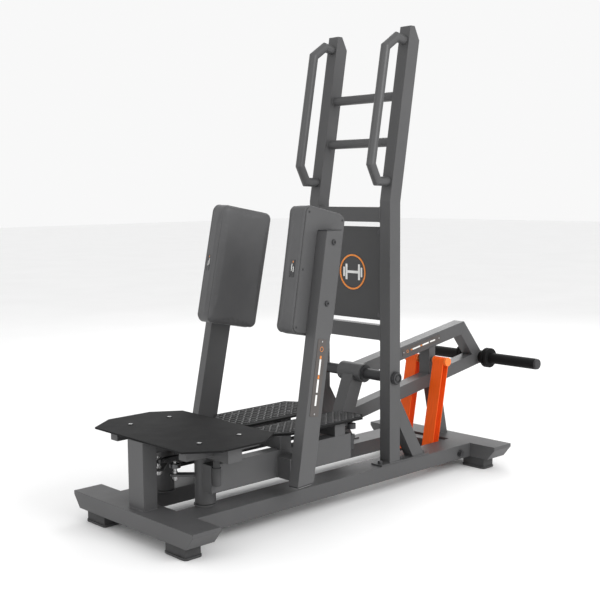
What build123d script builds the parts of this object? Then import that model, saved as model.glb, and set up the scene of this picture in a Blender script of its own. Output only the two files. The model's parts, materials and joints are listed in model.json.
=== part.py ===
"""Plate-loaded standing hip-abduction machine, in millimetres.

Frame: +Z up, +Y from the step at the front to the weight horns at the rear, +X to the right of a user
who stands on the foot plates facing +Y. Lengths along Y are measured here from the front face of the
base, and export() moves everything so that the origin is the centre of the footprint, on the floor.
"""
import os
from math import atan2, cos, degrees, hypot, radians, sin, tan

from build123d import *

# ---- driving dimensions -------------------------------------------------------------------------
OVERALL_LENGTH = 2024.0
WALL = 3.0                      # wall of every structural tube

BEAM_WIDTH, BEAM_HEIGHT = 120.0, 60.0
BASE_BOTTOM = 48.0              # underside of the base tubes, on the feet
BASE_TOP = BASE_BOTTOM + BEAM_HEIGHT
BASE_HALF = 365.0               # half the length of a base crossbeam
BASE_MITRE = 37.0               # how far each end slopes in underneath
REAR_BEAM_Y = 1638.0
RAIL_IN, RAIL_OUT = 116.0, 234.0
PLATE_T = 6.0

FOOT_X, FOOT_SIZE = 245.0, (112.0, 65.0)
FOOT_Y = (50.0, 1681.0)

UPRIGHT_IN, UPRIGHT_OUT = 176.0, 230.0
UPRIGHT_X = (UPRIGHT_IN + UPRIGHT_OUT) / 2
UPRIGHT_Y, UPRIGHT_DEPTH = 1113.0, 62.0
BEND_Z, TOP_Z = 1179.0, 1875.0
LEAN = radians(10)              # rearward lean of the upper ladder
BRACE_ANGLE = radians(30.6)
BRACE_FOOT_Y = 1330.0

HANDLE_R, RUNG_R = 19.0, 19.0
RUNG_Z = (1416.0, 1600.0)
HANDLE_PATH = ((1234, 1817), (1181, 1828), (1117, 1785), (1032, 1326), (1066, 1259.5), (1134, 1257))
CROSSBEAM_Z = (615.0, 1095.0)   # undersides of the two crossbeams between the uprights
CROSSBEAM_SIZE = (40.0, 60.0)
PANEL_SIZE, PANEL_T, PANEL_Z, PANEL_Y = (338.0, 382.0), 4.0, 884.0, 1138.0

PLATFORM_TOP, PLATFORM_T = 360.0, 6.0
PLATFORM_BOTTOM = PLATFORM_TOP - PLATFORM_T
PIVOT_X, PIVOT_Y = 125.0, 243.0
PIVOT_R, PIVOT_SHAFT_R, RUNNING = 38.0, 15.0, 0.06
PIVOT_LOW, PIVOT_HIGH = BASE_TOP + PLATE_T, 285.0   # faces of the plates that hold the pivot shafts
WASHER_T, AXIAL_GAP = 2.0, 0.3

BEAM_OUT, SWING_WIDTH = 212.0, 50.0                 # swing beam: outer face and width
BEAM_LOW, SWING_HEIGHT = 172.0, 100.0
SWING_START, SWING_END = 203.0, 903.0
BALL_X, BALL_Y, BALL_Z, BALL_R = 50.0, 167.0, 250.0, 11.0
CRANK_Z, CRANK_T, CRANK_R = 213.0, 8.0, 18.0

ARM_IN, ARM_WIDTH, ARM_DEPTH = 275.0, 45.0, 90.0    # pad arm tube
ARM_LOW, ARM_HIGH = 158.0, 1076.0
ARM_FRONT_Y, ARM_FRONT_Z = 611.0, 728.0             # a point on the arm's front face
ARM_LEAN = radians(11)                              # rearward lean of the pads and their arms
STUB_Y, STUB_HEIGHT = (510.0, 580.0), 78.0
TOE_IN, TOE_IN_Y = radians(7), 600.0                # turn of pads and arms about a vertical line at this Y
PAD_Y, PAD_Z = 691.0, 921.0
PAD_SIZE = (80.0, 236.0, 472.0)
PAD_PLATE = (5.7, 228.0, 460.0)

FOOT_PLATE_X, FOOT_PLATE_Y = (26.0, 230.0), (520.0, 1003.0)
FOOT_PLATE_INNER_Z, FOOT_PLATE_T, CANT = 311.0, 8.0, radians(3)
SUPPORT_Y, SUPPORT_DEPTH, SUPPORT_X = (527.0, 815.0), 56.0, (100.0, 212.0)

SHAFT_Y, SHAFT_Z, SHAFT_R = 1144.0, 462.0, 15.0
HUB_R, HUB_HALF = 39.0, 64.0
LEVER_HALF, LEVER_DEPTH = 29.0, 56.0
LEVER_SLOPE = 0.1685
UPPER_Z, LOWER_Z, LEVER_REF_Y = 508.0, 334.0, 1404.0  # tube centre heights at LEVER_REF_Y
LEVER_TAIL_Y = 1979.0
END_TUBE_Y = (1831.0, 1852.0)   # where the sloping end tube leaves the underside and top of the upper tube
STRUT_Y = (1602.0, 1644.0)
DOWN_ARM_ANGLE, DOWN_ARM_DEPTH, PIN_REACH = radians(22.2), 70.0, 226.0
ROD_R, EYE_R, EYE_T, PIN_R = 8.0, 18.0, 14.0, 8.0
ROD_CLEARANCE = 0.5

HORN_Y, HORN_Z, HORN_R = 1981.0, 431.0, 25.0
HORN_START, HORN_END, COLLAR_R = 90.0, 340.0, 46.0
CROSS_TUBE_R, CROSS_TUBE_HALF = 28.0, 58.0

BAND_X, BAND_T = (48.0, 108.0), 3.5
SPOOL_R, SPOOL_FLANGE_R, PEG_R, PEG_HALF, BAND_GAP = 15.0, 19.5, 10.0, 116.0, 0.5
SPOOL_TOP, SPOOL_LOW = (1623.0, 458.0), (1545.0, 62.0)
ANCHOR_Y, ANCHOR_BOLT = (1578.0, 1628.0), (1566.0, 74.0)

SIDES = (("right", 1), ("left", -1))


# ---- shared shapes ------------------------------------------------------------------------------
def box(x, y, z):
    """A box from its x, y and z ranges."""
    centre = [(low + high) / 2 for low, high in (x, y, z)]
    return Pos(*centre) * Box(x[1] - x[0], y[1] - y[0], z[1] - z[0])


def side_profile(points, x0, x1):
    """A closed outline given as (y, z) points, extruded from x0 to x1."""
    outline = Plane.YZ.offset(x0) * make_face(Polyline(*points, close=True))
    return extrude(outline, x1 - x0, dir=(1, 0, 0))


def front_profile(points, y0, y1):
    """A closed outline given as (x, z) points, extruded from y0 to y1."""
    outline = Plane.XZ.offset(-y0) * make_face(Polyline(*points, close=True))
    return extrude(outline, y1 - y0, dir=(0, 1, 0))


def hollow_side(points, x0, x1):
    """A tube with a polygonal side outline and closed ends, hollow inside."""
    face = make_face(Polyline(*points, close=True))
    inner = offset(face, -WALL)
    outer = extrude(Plane.YZ.offset(x0) * face, x1 - x0, dir=(1, 0, 0))
    core = extrude(Plane.YZ.offset(x0 + WALL) * inner, x1 - x0 - 2 * WALL, dir=(1, 0, 0))
    return outer - core


def hollow_box(x, y, z):
    """A rectangular tube with capped ends."""
    inner = [(low + WALL, high - WALL) for low, high in (x, y, z)]
    return box(x, y, z) - box(*inner)


def rod_x(y, z, r, x0, x1):
    return Pos(x0, y, z) * Rot(0, 90, 0) * Cylinder(r, x1 - x0, align=(Align.CENTER, Align.CENTER, Align.MIN))


def rod_z(x, y, r, z0, z1):
    return Pos(x, y, z0) * Cylinder(r, z1 - z0, align=(Align.CENTER, Align.CENTER, Align.MIN))


def both(shape):
    """A shape and its mirror image about the centre plane."""
    return [shape, mirror(shape, about=Plane.YZ)]


def flat(items):
    for item in items:
        if isinstance(item, (list, tuple)):
            yield from flat(item)
        else:
            yield item


def button_head(r, height):
    """A low domed bolt head standing on z = 0, with a hexagon socket."""
    head = Cylinder(r, height, align=(Align.CENTER, Align.CENTER, Align.MIN))
    head = fillet(head.edges().group_by(Axis.Z)[-1], height * 0.7)
    socket = extrude(RegularPolygon(r * 0.42, 6), height * 0.55)
    return head - Pos(0, 0, height * 0.45) * socket


# ---- base ---------------------------------------------------------------------------------------
def base_crossbeam(y0):
    lip = 14
    ends = [
        (-BASE_HALF, BASE_TOP), (BASE_HALF, BASE_TOP), (BASE_HALF, BASE_TOP - lip),
        (BASE_HALF - BASE_MITRE, BASE_BOTTOM), (BASE_MITRE - BASE_HALF, BASE_BOTTOM), (-BASE_HALF, BASE_TOP - lip),
    ]
    face = make_face(Polyline(*ends, close=True))
    outer = extrude(Plane.XZ.offset(-y0) * face, BEAM_WIDTH, dir=(0, 1, 0))
    core = extrude(Plane.XZ.offset(-y0 - WALL) * offset(face, -WALL), BEAM_WIDTH - 2 * WALL, dir=(0, 1, 0))
    return outer - core


def base_rails():
    rail = hollow_box((RAIL_IN, RAIL_OUT), (BEAM_WIDTH, REAR_BEAM_Y), (BASE_BOTTOM, BASE_TOP))
    return both(rail)


def rubber_feet():
    width, depth = FOOT_SIZE
    flange, flange_t = 6, 9
    feet = []
    for y in FOOT_Y:
        block = Pos(FOOT_X, y, 4) * Box(width, depth, BASE_BOTTOM - 4, align=(Align.CENTER, Align.CENTER, Align.MIN))
        sole = Pos(FOOT_X, y, 0) * Box(
            width + 2 * flange, depth + 2 * flange, flange_t, align=(Align.CENTER, Align.CENTER, Align.MIN))
        sole = fillet(sole.edges().filter_by(Axis.Z), 14)
        sole = chamfer(sole.edges().group_by(Axis.Z)[0], 2)
        feet += both(block + sole)
    return feet


# ---- step and pivots at the front ---------------------------------------------------------------
def front_post():
    return hollow_box((-46, 46), (32, 90), (BASE_TOP, PLATFORM_BOTTOM))


def platform_frame():
    cross_y, cross_low = (200, 262), 297
    cross = hollow_box((-310, 310), cross_y, (cross_low, PLATFORM_BOTTOM))
    spine = hollow_box((-29, 29), (90, cross_y[0]), (304, PLATFORM_BOTTOM))
    bars = []
    for start, end in ((82, cross_y[0]), (cross_y[1], 410)):
        bars += both(hollow_box((188, 230), (start, end), (312, PLATFORM_BOTTOM)))
    ribs = both(box((302, 310), (cross_y[1], 318), (338, PLATFORM_BOTTOM)))
    return [cross, spine, bars, ribs]


def step_platform():
    half, side_y = ((265, 36), (345, 148)), ((345, 338), (272, 445))
    right = [*half, *side_y]
    outline = right + [(-x, y) for x, y in reversed(right)]
    plate = Pos(0, 0, PLATFORM_BOTTOM) * extrude(make_face(Polyline(*outline, close=True)), PLATFORM_T)
    for x, y in platform_bolt_places():
        plate -= rod_z(x, y, 5, PLATFORM_BOTTOM, PLATFORM_TOP)
    return plate


def platform_bolt_places():
    return [(sign * 209, y) for sign in (1, -1) for y in (155, 334)]


def pivot_plates():
    top = box((-170, 170), (200, 290), (PIVOT_HIGH, 297))
    foot = rod_z(PIVOT_X, PIVOT_Y, PIVOT_R + 4, BASE_TOP, PIVOT_LOW)
    plates = [top, *both(foot)]
    for sign in (1, -1):
        hole = rod_z(sign * PIVOT_X, PIVOT_Y, PIVOT_SHAFT_R, BASE_TOP, 297)
        plates = [plate - hole for plate in plates]
    return plates


def pivot_shafts():
    """Fixed shafts, each with a thrust washer at both ends of the swing arm's tube."""
    shaft = rod_z(PIVOT_X, PIVOT_Y, PIVOT_SHAFT_R, BASE_TOP, 297)
    ring = rod_z(PIVOT_X, PIVOT_Y, 30, 0, WASHER_T) - rod_z(PIVOT_X, PIVOT_Y, PIVOT_SHAFT_R, 0, WASHER_T)
    washers = [Pos(0, 0, z) * ring for z in (PIVOT_LOW, PIVOT_HIGH - WASHER_T)]
    return [both(piece) for piece in (shaft, *washers)]


def stop_bumpers():
    """Rubber stops: one under the lever, and a bush on a bolt beside the front of each swing beam."""
    r = 15.5
    x, y = BEAM_OUT + r + AXIAL_GAP, 214
    arm_stop = rod_z(x, y, r, 203, 267) + rod_z(x, y, 12, 267, 297)
    return [*both(arm_stop), lever_bumper()]


# ---- ladder -------------------------------------------------------------------------------------
def front_face_y(z):
    """Where the uprights' front face is at height z."""
    return UPRIGHT_Y + max(0.0, z - BEND_Z) * tan(LEAN)


def upright():
    back = UPRIGHT_Y + UPRIGHT_DEPTH
    back_bend = BEND_Z - UPRIGHT_DEPTH * tan(LEAN / 2)
    chamfer_z = TOP_Z - 55
    rear_at_chamfer = back + (chamfer_z - back_bend) * tan(LEAN)
    outline = [
        (UPRIGHT_Y, BASE_TOP + PLATE_T), (back, BASE_TOP + PLATE_T), (back, back_bend),
        (rear_at_chamfer, chamfer_z), (front_face_y(TOP_Z) + 25, TOP_Z), (front_face_y(TOP_Z), TOP_Z), (UPRIGHT_Y, BEND_Z),
    ]
    shell = hollow_side(outline, UPRIGHT_IN, UPRIGHT_OUT)
    return shell - rod_x(SHAFT_Y, SHAFT_Z, SHAFT_R, UPRIGHT_IN - 1, UPRIGHT_OUT + 1)


def upright_braces():
    back, low = UPRIGHT_Y + UPRIGHT_DEPTH, BASE_TOP + PLATE_T
    front_foot_y = BRACE_FOOT_Y - 60 / cos(BRACE_ANGLE)
    outline = [
        (back, low + (front_foot_y - back) / tan(BRACE_ANGLE)), (front_foot_y, low),
        (BRACE_FOOT_Y, low), (back, low + (BRACE_FOOT_Y - back) / tan(BRACE_ANGLE)),
    ]
    return both(hollow_side(outline, UPRIGHT_X - 24, UPRIGHT_X + 24))


def upright_base_plates():
    plate = box((UPRIGHT_IN - 2, RAIL_OUT - 1), (1062, BRACE_FOOT_Y + 26), (BASE_TOP, BASE_TOP + PLATE_T))
    for x, y in base_bolt_places():
        plate -= rod_z(x, y, 6, BASE_TOP, BASE_TOP + PLATE_T)
    return both(plate)


def base_bolt_places():
    return [(UPRIGHT_X, 1086), (UPRIGHT_X, 1210), (UPRIGHT_X, 1343.5)]


def upright_crossbeam(z0):
    depth, height = CROSSBEAM_SIZE
    return hollow_box((-UPRIGHT_IN, UPRIGHT_IN), (UPRIGHT_Y, UPRIGHT_Y + depth), (z0, z0 + height))


def back_panel():
    width, height = PANEL_SIZE
    panel = box((-width / 2, width / 2), (PANEL_Y, PANEL_Y + PANEL_T), (PANEL_Z - height / 2, PANEL_Z + height / 2))
    panel = fillet(panel.edges().filter_by(Axis.Y), 8)
    for x, z in panel_bolt_places():
        panel -= Pos(x, PANEL_Y + PANEL_T / 2, z) * Rot(90, 0, 0) * Cylinder(4, 3 * PANEL_T)
    return panel


def panel_bolt_places():
    return [(x, PANEL_Z + dz) for x in (-150, 150) for dz in (-170, 170)]


def panel_emblem():
    """A plain ring standing 2 mm proud of the panel."""
    face = Plane((0, PANEL_Y, PANEL_Z), x_dir=(1, 0, 0), z_dir=(0, -1, 0))
    return extrude(face * (Circle(74) - Circle(67)), 2)


def ladder_rungs():
    rungs = []
    for z in RUNG_Z:
        y = front_face_y(z) + UPRIGHT_DEPTH / 2 / cos(LEAN)
        tube = rod_x(y, z, RUNG_R, -UPRIGHT_IN, UPRIGHT_IN)
        rungs.append(tube - rod_x(y, z, RUNG_R - 2.5, WALL - UPRIGHT_IN, UPRIGHT_IN - WALL))
    return rungs


def grab_handles(post):
    points = [(UPRIGHT_X, y, z) for y, z in HANDLE_PATH]
    path = Polyline(*points)
    start = Plane(points[0], z_dir=Vector(*points[1]) - Vector(*points[0]))
    bar = sweep(start * Circle(HANDLE_R), path, transition=Transition.RIGHT)
    solid_post = side_profile(
        [(UPRIGHT_Y, 1000), (1400, 1000), (1400, TOP_Z), (front_face_y(TOP_Z), TOP_Z), (UPRIGHT_Y, BEND_Z)],
        UPRIGHT_IN - 5, UPRIGHT_OUT + 5)
    return both(bar - solid_post)


# ---- lever shaft, bands and stop ----------------------------------------------------------------
def shaft_collars():
    """Outside each upright a flanged collar and cap, inside a spacer tube up to the lever's hub."""
    cap = rod_x(SHAFT_Y, SHAFT_Z, 27, UPRIGHT_OUT, UPRIGHT_OUT + 10) - rod_x(
        SHAFT_Y, SHAFT_Z, SHAFT_R, UPRIGHT_OUT, UPRIGHT_OUT + 6)
    cap += rod_x(SHAFT_Y, SHAFT_Z, 24, UPRIGHT_OUT + 10, UPRIGHT_OUT + 17)
    cap = fillet(cap.edges().group_by(Axis.X)[-1], 3)
    cap -= rod_x(SHAFT_Y, SHAFT_Z, 17, UPRIGHT_OUT + 12, UPRIGHT_OUT + 20)
    cap += rod_x(SHAFT_Y, SHAFT_Z, 11, UPRIGHT_OUT + 12, UPRIGHT_OUT + 16)
    gap = HUB_HALF + 7 + AXIAL_GAP
    spacer = rod_x(SHAFT_Y, SHAFT_Z, 22, gap, UPRIGHT_IN) - rod_x(SHAFT_Y, SHAFT_Z, SHAFT_R, gap, UPRIGHT_IN)
    return [both(cap), both(spacer)]


def main_shaft():
    reach = UPRIGHT_OUT + 6
    return rod_x(SHAFT_Y, SHAFT_Z, SHAFT_R, -reach, reach)


def band_anchor():
    """A tube between the rails with end flanges, and the bar that carries the lower spools."""
    flange_in = 112
    flange = box((flange_in, RAIL_IN), (1525, ANCHOR_Y[1]), (50, 104))
    tube = hollow_box((-flange_in, flange_in), ANCHOR_Y, (50, 100))
    bar = rod_x(*SPOOL_LOW, PEG_R, -flange_in, flange_in)
    return [tube, bar, *both(flange)]


def spools(centre, outer_end, bore_end):
    """Flanged spools on a bar, bored from the middle of the machine out to bore_end."""
    y, z = centre
    core = rod_x(y, z, SPOOL_R, BAND_X[0] - 4, BAND_X[1] + 0.5)
    inner = rod_x(y, z, SPOOL_FLANGE_R, BAND_X[0] - 4.5, BAND_X[0] - 0.5)
    outer = rod_x(y, z, SPOOL_FLANGE_R, BAND_X[1] + 0.5, outer_end)
    outer = fillet(outer.edges().group_by(Axis.X)[-1], 1.2)
    spool = core + inner + outer
    return both(spool - rod_x(y, z, PEG_R, 0, bore_end))


def resistance_bands():
    """A flat elastic loop round the upper and lower spool on each side."""
    (y1, z1), (y0, z0) = SPOOL_TOP, SPOOL_LOW
    span, tilt = hypot(y1 - y0, z1 - z0), degrees(atan2(z1 - z0, y1 - y0))
    inner_r = SPOOL_R + BAND_GAP
    outer_r = inner_r + BAND_T
    loop = SlotCenterToCenter(span, 2 * outer_r) - SlotCenterToCenter(span, 2 * inner_r)
    placed = Pos((y0 + y1) / 2, (z0 + z1) / 2) * Rot(0, 0, tilt) * loop
    band = extrude(Plane.YZ.offset(BAND_X[0]) * placed, BAND_X[1] - BAND_X[0], dir=(1, 0, 0))
    return both(band)


def stop_post_outline():
    low, lean = BASE_TOP, 0.22
    foot, top = (1681.0, 1733.0), (330.0, 338.8)
    return [(foot[0], low), (foot[1], low)] + [(y - lean * (z - low), z) for y, z in zip(foot[::-1], top[::-1])]


def lever_stop_post():
    return hollow_side(stop_post_outline(), -LEVER_HALF, LEVER_HALF)


def lever_bumper():
    _, _, rear_top, front_top = stop_post_outline()
    y, z = (rear_top[0] + front_top[0]) / 2, (rear_top[1] + front_top[1]) / 2
    slope = atan2(rear_top[1] - front_top[1], rear_top[0] - front_top[0])
    up = Vector(0, -sin(slope), cos(slope))
    pad = extrude(Plane((0, y, z), x_dir=(1, 0, 0), z_dir=up) * Circle(22), 40)
    lever_room = side_profile(lever_tube_outline(LOWER_Z - AXIAL_GAP, 1500, 1800), -60, 60)
    return pad - lever_room


# ---- lever --------------------------------------------------------------------------------------
def lever_line(height, y):
    return height + LEVER_SLOPE * (y - LEVER_REF_Y)


def lever_tube_outline(height, y0, y1):
    half = LEVER_DEPTH / 2 * hypot(1, LEVER_SLOPE)
    lower = [(y, lever_line(height, y) - half) for y in (y0, y1)]
    upper = [(y, lever_line(height, y) + half) for y in (y1, y0)]
    return lower + upper


def lever_hub():
    return rod_x(SHAFT_Y, SHAFT_Z, HUB_R, -HUB_HALF, HUB_HALF) - rod_x(SHAFT_Y, SHAFT_Z, 30, -HUB_HALF, HUB_HALF)


def hub_bearings():
    """Flanged bushes pressed into both ends of the hub."""
    bush = rod_x(SHAFT_Y, SHAFT_Z, 30, HUB_HALF - 28, HUB_HALF) + rod_x(SHAFT_Y, SHAFT_Z, 33, HUB_HALF, HUB_HALF + 7)
    return both(bush - rod_x(SHAFT_Y, SHAFT_Z, SHAFT_R + RUNNING, 0, HUB_HALF + 10))


def pin_place():
    return SHAFT_Y - PIN_REACH * sin(DOWN_ARM_ANGLE), SHAFT_Z - PIN_REACH * cos(DOWN_ARM_ANGLE)


def down_arm_point(along, across):
    """A point along the down-arm from the shaft, and across it towards the rear."""
    return (SHAFT_Y - along * sin(DOWN_ARM_ANGLE) + across * cos(DOWN_ARM_ANGLE),
            SHAFT_Z - along * cos(DOWN_ARM_ANGLE) - across * sin(DOWN_ARM_ANGLE))


def lever_down_arm():
    half, tip = DOWN_ARM_DEPTH / 2, PIN_REACH + 30
    places = ((0, -half), (tip - 16, -half), (tip, 16 - half), (tip, half - 16), (tip - 16, half), (0, half))
    arm = hollow_side([down_arm_point(*place) for place in places], -LEVER_HALF, LEVER_HALF)
    arm -= rod_x(SHAFT_Y, SHAFT_Z, HUB_R, -100, 100)
    keep = side_profile([down_arm_point(*p) for p in ((10, -60), (400, -60), (400, 60), (10, 60))], -60, 60)
    arm = arm & keep
    return arm - rod_x(*pin_place(), PIN_R, -100, 100)


def lever_upper_tube():
    half = LEVER_DEPTH / 2 * hypot(1, LEVER_SLOPE)
    end_inner, end_outer = upper_corners()
    outline = [(SHAFT_Y, lever_line(UPPER_Z, SHAFT_Y) - half), end_inner, end_outer,
               (SHAFT_Y, lever_line(UPPER_Z, SHAFT_Y) + half)]
    tube = hollow_side(outline, -LEVER_HALF, LEVER_HALF) - rod_x(SHAFT_Y, SHAFT_Z, HUB_R, -100, 100)
    arm_room = side_profile([down_arm_point(*p) for p in ((0, -35), (300, -35), (300, 35), (0, 35))], -60, 60)
    return biggest(tube - arm_room)


def upper_corners():
    """Inner and outer corners where the sloping end tube meets the upper tube."""
    half = LEVER_DEPTH / 2 * hypot(1, LEVER_SLOPE)
    return [(y, lever_line(UPPER_Z, y) + side * half) for y, side in zip(END_TUBE_Y, (-1, 1))]


def lower_corners():
    """Inner and outer corners where the sloping end tube meets the lower tube."""
    half = LEVER_DEPTH / 2 * hypot(1, LEVER_SLOPE)
    inner_y = 1916.0
    return (inner_y, lever_line(LOWER_Z, inner_y) + half), (LEVER_TAIL_Y, 462.8)


def lever_end_tube():
    (upper_inner, upper_outer), (inner, outer) = upper_corners(), lower_corners()
    tube = hollow_side([upper_inner, inner, outer, upper_outer], -LEVER_HALF, LEVER_HALF)
    return tube - rod_x(HORN_Y, HORN_Z, CROSS_TUBE_R, -100, 100)


def lever_lower_tube():
    inner, outer = lower_corners()
    half = LEVER_DEPTH / 2 * hypot(1, LEVER_SLOPE)
    start = 1060.0
    outline = [(start, lever_line(LOWER_Z, start) - half), (LEVER_TAIL_Y, lever_line(LOWER_Z, LEVER_TAIL_Y) - half),
               outer, inner, (start, lever_line(LOWER_Z, start) + half)]
    tube = hollow_side(outline, -LEVER_HALF, LEVER_HALF) - rod_x(HORN_Y, HORN_Z, CROSS_TUBE_R, -100, 100)
    ahead = side_profile([down_arm_point(*p) for p in ((-50, -400), (500, -400), (500, 35), (-50, 35))], -60, 60)
    return biggest(tube - ahead)


def lever_strut():
    half = LEVER_DEPTH / 2 * hypot(1, LEVER_SLOPE)
    outline = [(y, lever_line(LOWER_Z, y) + half) for y in STRUT_Y]
    outline += [(y, lever_line(UPPER_Z, y) - half) for y in reversed(STRUT_Y)]
    return hollow_side(outline, -LEVER_HALF, LEVER_HALF) - rod_x(*SPOOL_TOP, PEG_R, -100, 100)


def band_peg():
    return rod_x(*SPOOL_TOP, PEG_R, -PEG_HALF, PEG_HALF)


def weight_horns():
    """A cross tube through the lever's tail and a plain sleeve on each end of it."""
    cross = rod_x(HORN_Y, HORN_Z, CROSS_TUBE_R, -CROSS_TUBE_HALF, CROSS_TUBE_HALF)
    cross -= rod_x(HORN_Y, HORN_Z, CROSS_TUBE_R - 5, 4 - CROSS_TUBE_HALF, CROSS_TUBE_HALF - 4)
    sleeve = rod_x(HORN_Y, HORN_Z, HORN_R, HORN_START, HORN_END)
    sleeve -= rod_x(HORN_Y, HORN_Z, HORN_R - 5, HORN_START + 4, HORN_END - 4)
    return [cross, *both(sleeve)]


def horn_collars():
    middle = (CROSS_TUBE_HALF + HORN_START) / 2
    collar = rod_x(HORN_Y, HORN_Z, COLLAR_R, CROSS_TUBE_HALF, HORN_START)
    groove = rod_x(HORN_Y, HORN_Z, COLLAR_R + 5, middle - 2, middle + 2) - rod_x(
        HORN_Y, HORN_Z, COLLAR_R - 4, middle - 2, middle + 2)
    collar = fillet(collar.edges().filter_by(GeomType.CIRCLE), 4)
    return both(collar - groove)


def horn_end_caps():
    cap = rod_x(HORN_Y, HORN_Z, HORN_R - 1, HORN_END, HORN_END + 12)
    return both(fillet(cap.edges().group_by(Axis.X)[-1], 6))


def rod_pin():
    """The cross pin that drives both link rods, with a spacer and a head at each end."""
    y, z = pin_place()
    eye_in, eye_out = BALL_X - EYE_T / 2, BALL_X + EYE_T / 2
    pin = rod_x(y, z, PIN_R, -eye_out - 8, eye_out + 8)
    spacer = rod_x(y, z, 13, LEVER_HALF, eye_in - 1) - rod_x(y, z, PIN_R, LEVER_HALF, eye_in - 1)
    head = rod_x(y, z, 13, eye_out + 1, eye_out + 8) - rod_x(y, z, PIN_R, eye_out, eye_out + 8)
    return [pin, *both(spacer), *both(head)]


# ---- link rods ----------------------------------------------------------------------------------
def link_rod():
    """Front eye round the crank's ball, rear eye on the lever's pin, and the tube between."""
    pin_y, pin_z = pin_place()
    bore = BALL_R + 3
    front_eye = rod_z(BALL_X, BALL_Y, EYE_R + 2, BALL_Z - EYE_T / 2, BALL_Z + EYE_T / 2) - rod_z(
        BALL_X, BALL_Y, bore, 0, 400)
    rear_eye = rod_x(pin_y, pin_z, EYE_R, BALL_X - EYE_T / 2, BALL_X + EYE_T / 2) - rod_x(
        pin_y, pin_z, PIN_R + ROD_CLEARANCE, 0, 200)
    start, end = Vector(BALL_X, BALL_Y + EYE_R, BALL_Z), Vector(BALL_X, pin_y - EYE_R + 2, pin_z)
    shank = extrude(Plane(start, z_dir=end - start) * Circle(ROD_R), (end - start).length)
    return front_eye + rear_eye + shank


# ---- swing arms ---------------------------------------------------------------------------------
def pivot_tube():
    """The arm's vertical tube with its two bushes, and the plates that weld it to the beam."""
    low, high = PIVOT_LOW + WASHER_T + AXIAL_GAP, PIVOT_HIGH - WASHER_T - AXIAL_GAP
    tube = rod_z(PIVOT_X, PIVOT_Y, PIVOT_R, low, high) - rod_z(PIVOT_X, PIVOT_Y, 28, low, high)
    bore = rod_z(PIVOT_X, PIVOT_Y, PIVOT_SHAFT_R + RUNNING, low, high)
    bushes = [rod_z(PIVOT_X, PIVOT_Y, 28, z, z + 30) - bore for z in (low, high - 30)]
    skin = rod_z(PIVOT_X, PIVOT_Y, PIVOT_R, 0, 400)
    beam_in = BEAM_OUT - SWING_WIDTH
    gussets = [biggest(box((PIVOT_X, beam_in), (PIVOT_Y - 36, PIVOT_Y + 60), (z, z + 8)) - skin) for z in (178, 258)]
    return [tube, *bushes, *gussets]


def swing_beam():
    beam_in = BEAM_OUT - SWING_WIDTH
    beam = hollow_box((beam_in, BEAM_OUT), (SWING_START, SWING_END), (BEAM_LOW, BEAM_LOW + SWING_HEIGHT))
    return beam - rod_z(PIVOT_X, PIVOT_Y, PIVOT_R, 0, 400)


def crank():
    """The flat crank that carries the ball stud, welded to the pivot tube."""
    reach, heading = hypot(PIVOT_X - BALL_X, PIVOT_Y - BALL_Y), degrees(atan2(PIVOT_Y - BALL_Y, PIVOT_X - BALL_X))
    strap = Pos((PIVOT_X + BALL_X) / 2, (PIVOT_Y + BALL_Y) / 2, CRANK_Z) * Rot(0, 0, heading) * extrude(
        SlotCenterToCenter(reach, 2 * CRANK_R), CRANK_T)
    strap -= rod_z(PIVOT_X, PIVOT_Y, PIVOT_R, 0, 400)
    return biggest(strap - rod_z(BALL_X, BALL_Y, 6, 0, 400))


def ball_stud():
    stud = rod_z(BALL_X, BALL_Y, 6, 196, 266)
    ball = Pos(BALL_X, BALL_Y, BALL_Z) * Sphere(BALL_R)
    neck = rod_z(BALL_X, BALL_Y, 9, CRANK_Z + CRANK_T, CRANK_Z + CRANK_T + 8)
    nut = Pos(BALL_X, BALL_Y, CRANK_Z - 12) * extrude(RegularPolygon(11, 6), 12)
    return stud + ball + neck + nut


def arm_front_y(z):
    return ARM_FRONT_Y + tan(ARM_LEAN) * (z - ARM_FRONT_Z)


def toed_in(shape):
    """A piece of the pad arm, turned with it about the vertical line through the arm's middle."""
    middle = ARM_IN + ARM_WIDTH / 2
    return Pos(middle, TOE_IN_Y, 0) * Rot(0, 0, degrees(TOE_IN)) * Pos(-middle, -TOE_IN_Y, 0) * shape


def arm_inner_x(y):
    """Where the arm's inner face is at this Y, once turned."""
    return ARM_IN + ARM_WIDTH / 2 - (ARM_WIDTH / 2 + (y - TOE_IN_Y) * sin(TOE_IN)) / cos(TOE_IN)


def pad_arm():
    """The leaning tube that carries the pad, and the stub that joins it to the swing beam."""
    depth = ARM_DEPTH / cos(ARM_LEAN)
    outline = [(arm_front_y(ARM_LOW), ARM_LOW), (arm_front_y(ARM_LOW) + depth, ARM_LOW),
               (arm_front_y(ARM_HIGH) + depth, ARM_HIGH), (arm_front_y(ARM_HIGH), ARM_HIGH)]
    tube = toed_in(hollow_side(outline, ARM_IN, ARM_IN + ARM_WIDTH))
    y0, y1 = STUB_Y
    plan = make_face(Polyline((BEAM_OUT, y0), (arm_inner_x(y0), y0), (arm_inner_x(y1), y1), (BEAM_OUT, y1), close=True))
    stub = Pos(0, 0, BEAM_LOW) * extrude(plan, STUB_HEIGHT)
    stub -= Pos(0, 0, BEAM_LOW + WALL) * extrude(offset(plan, -WALL), STUB_HEIGHT - 2 * WALL)
    return [tube, stub]


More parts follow.
